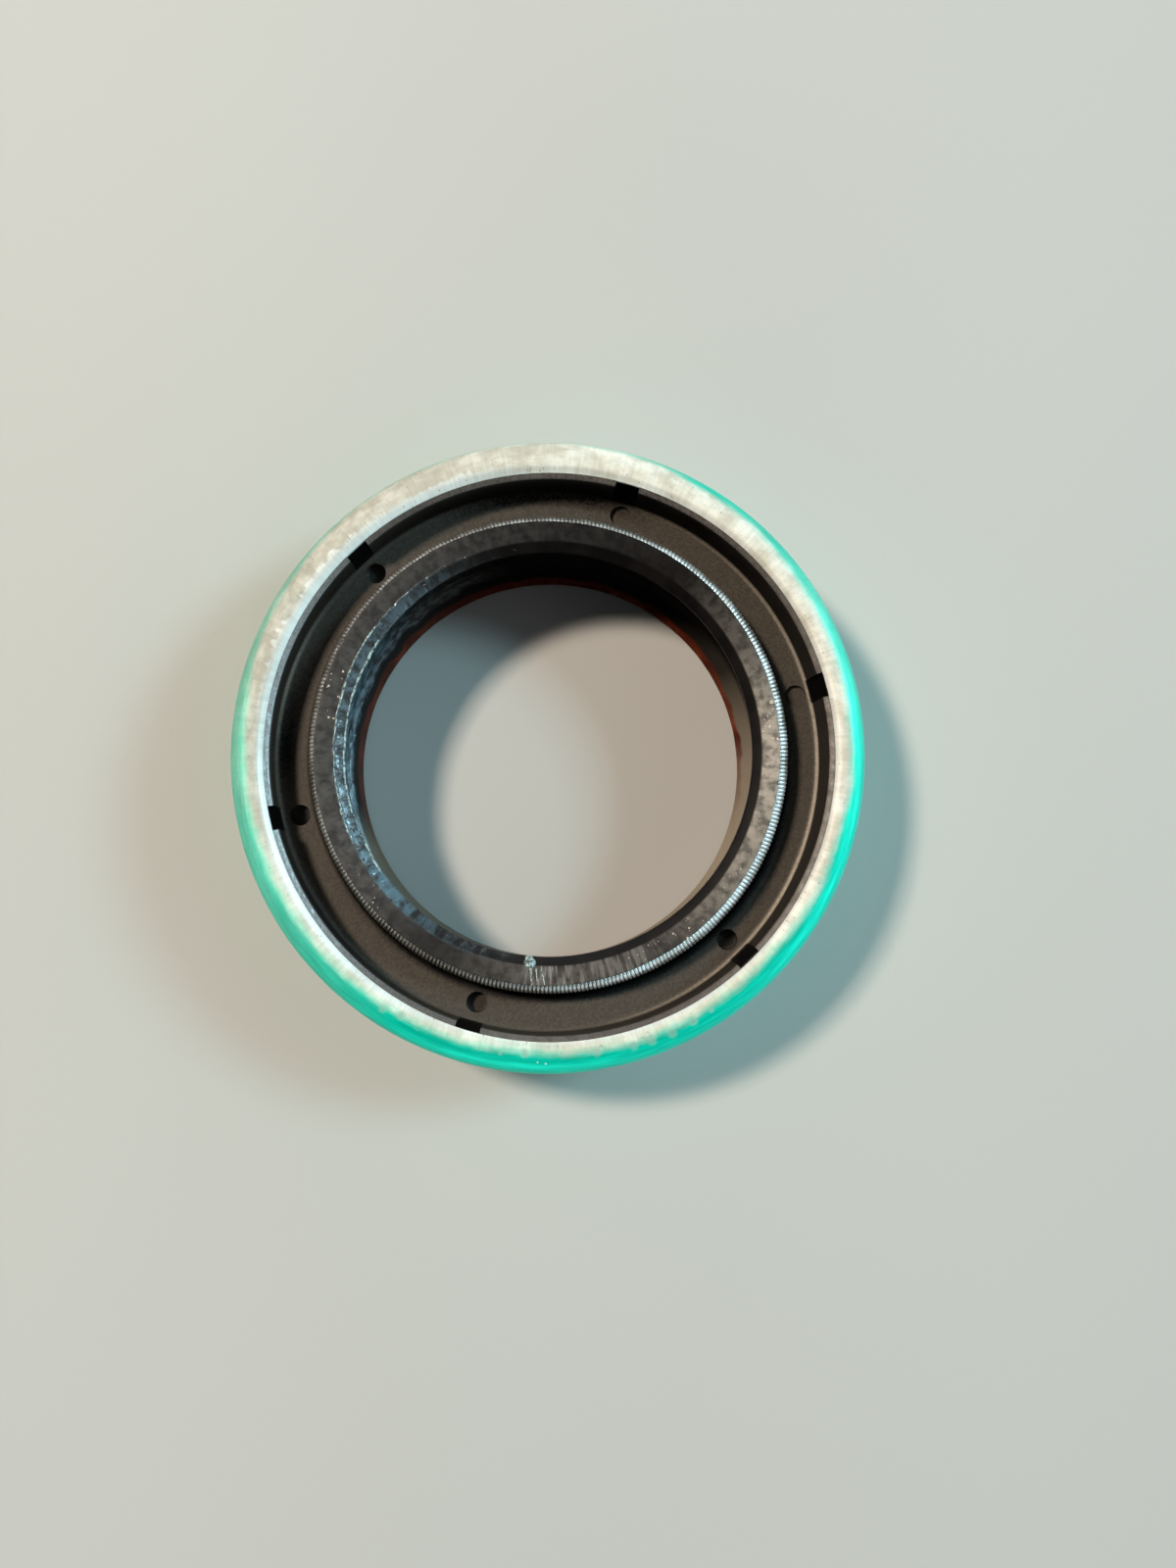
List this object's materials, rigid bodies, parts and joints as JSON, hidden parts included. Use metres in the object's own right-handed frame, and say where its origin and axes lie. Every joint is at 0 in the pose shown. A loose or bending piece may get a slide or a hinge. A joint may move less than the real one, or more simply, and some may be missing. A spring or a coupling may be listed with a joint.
{
  "type": "radial shaft seal",
  "caption": "Round metal-cased radial shaft seal with a rubber sealing lip, garter spring and dust lip, for a shaft in a bored housing.",
  "frame": {"origin": "centre of the air-side face, on which the seal rests", "axes": "+Z along the shaft towards the oil side, where the spring is; +X through the right of the seal as seen from the oil side"},
  "size_m": [0.045, 0.045, 0.011],
  "materials": {
    "coated_steel": "drawn steel with a thin green sealing coat on the outside diameter and the outer bend, bare bright steel on the rim",
    "nitrile_rubber": "matt black moulded nitrile rubber, with a smear of oil and grease at the lip",
    "spring_wire": "bright close-wound spring wire"
  },
  "bodies": {
    "root": {"steel_case": "coated_steel", "rubber_element": "nitrile_rubber", "garter_spring": "spring_wire"}
  },
  "joints": []
}
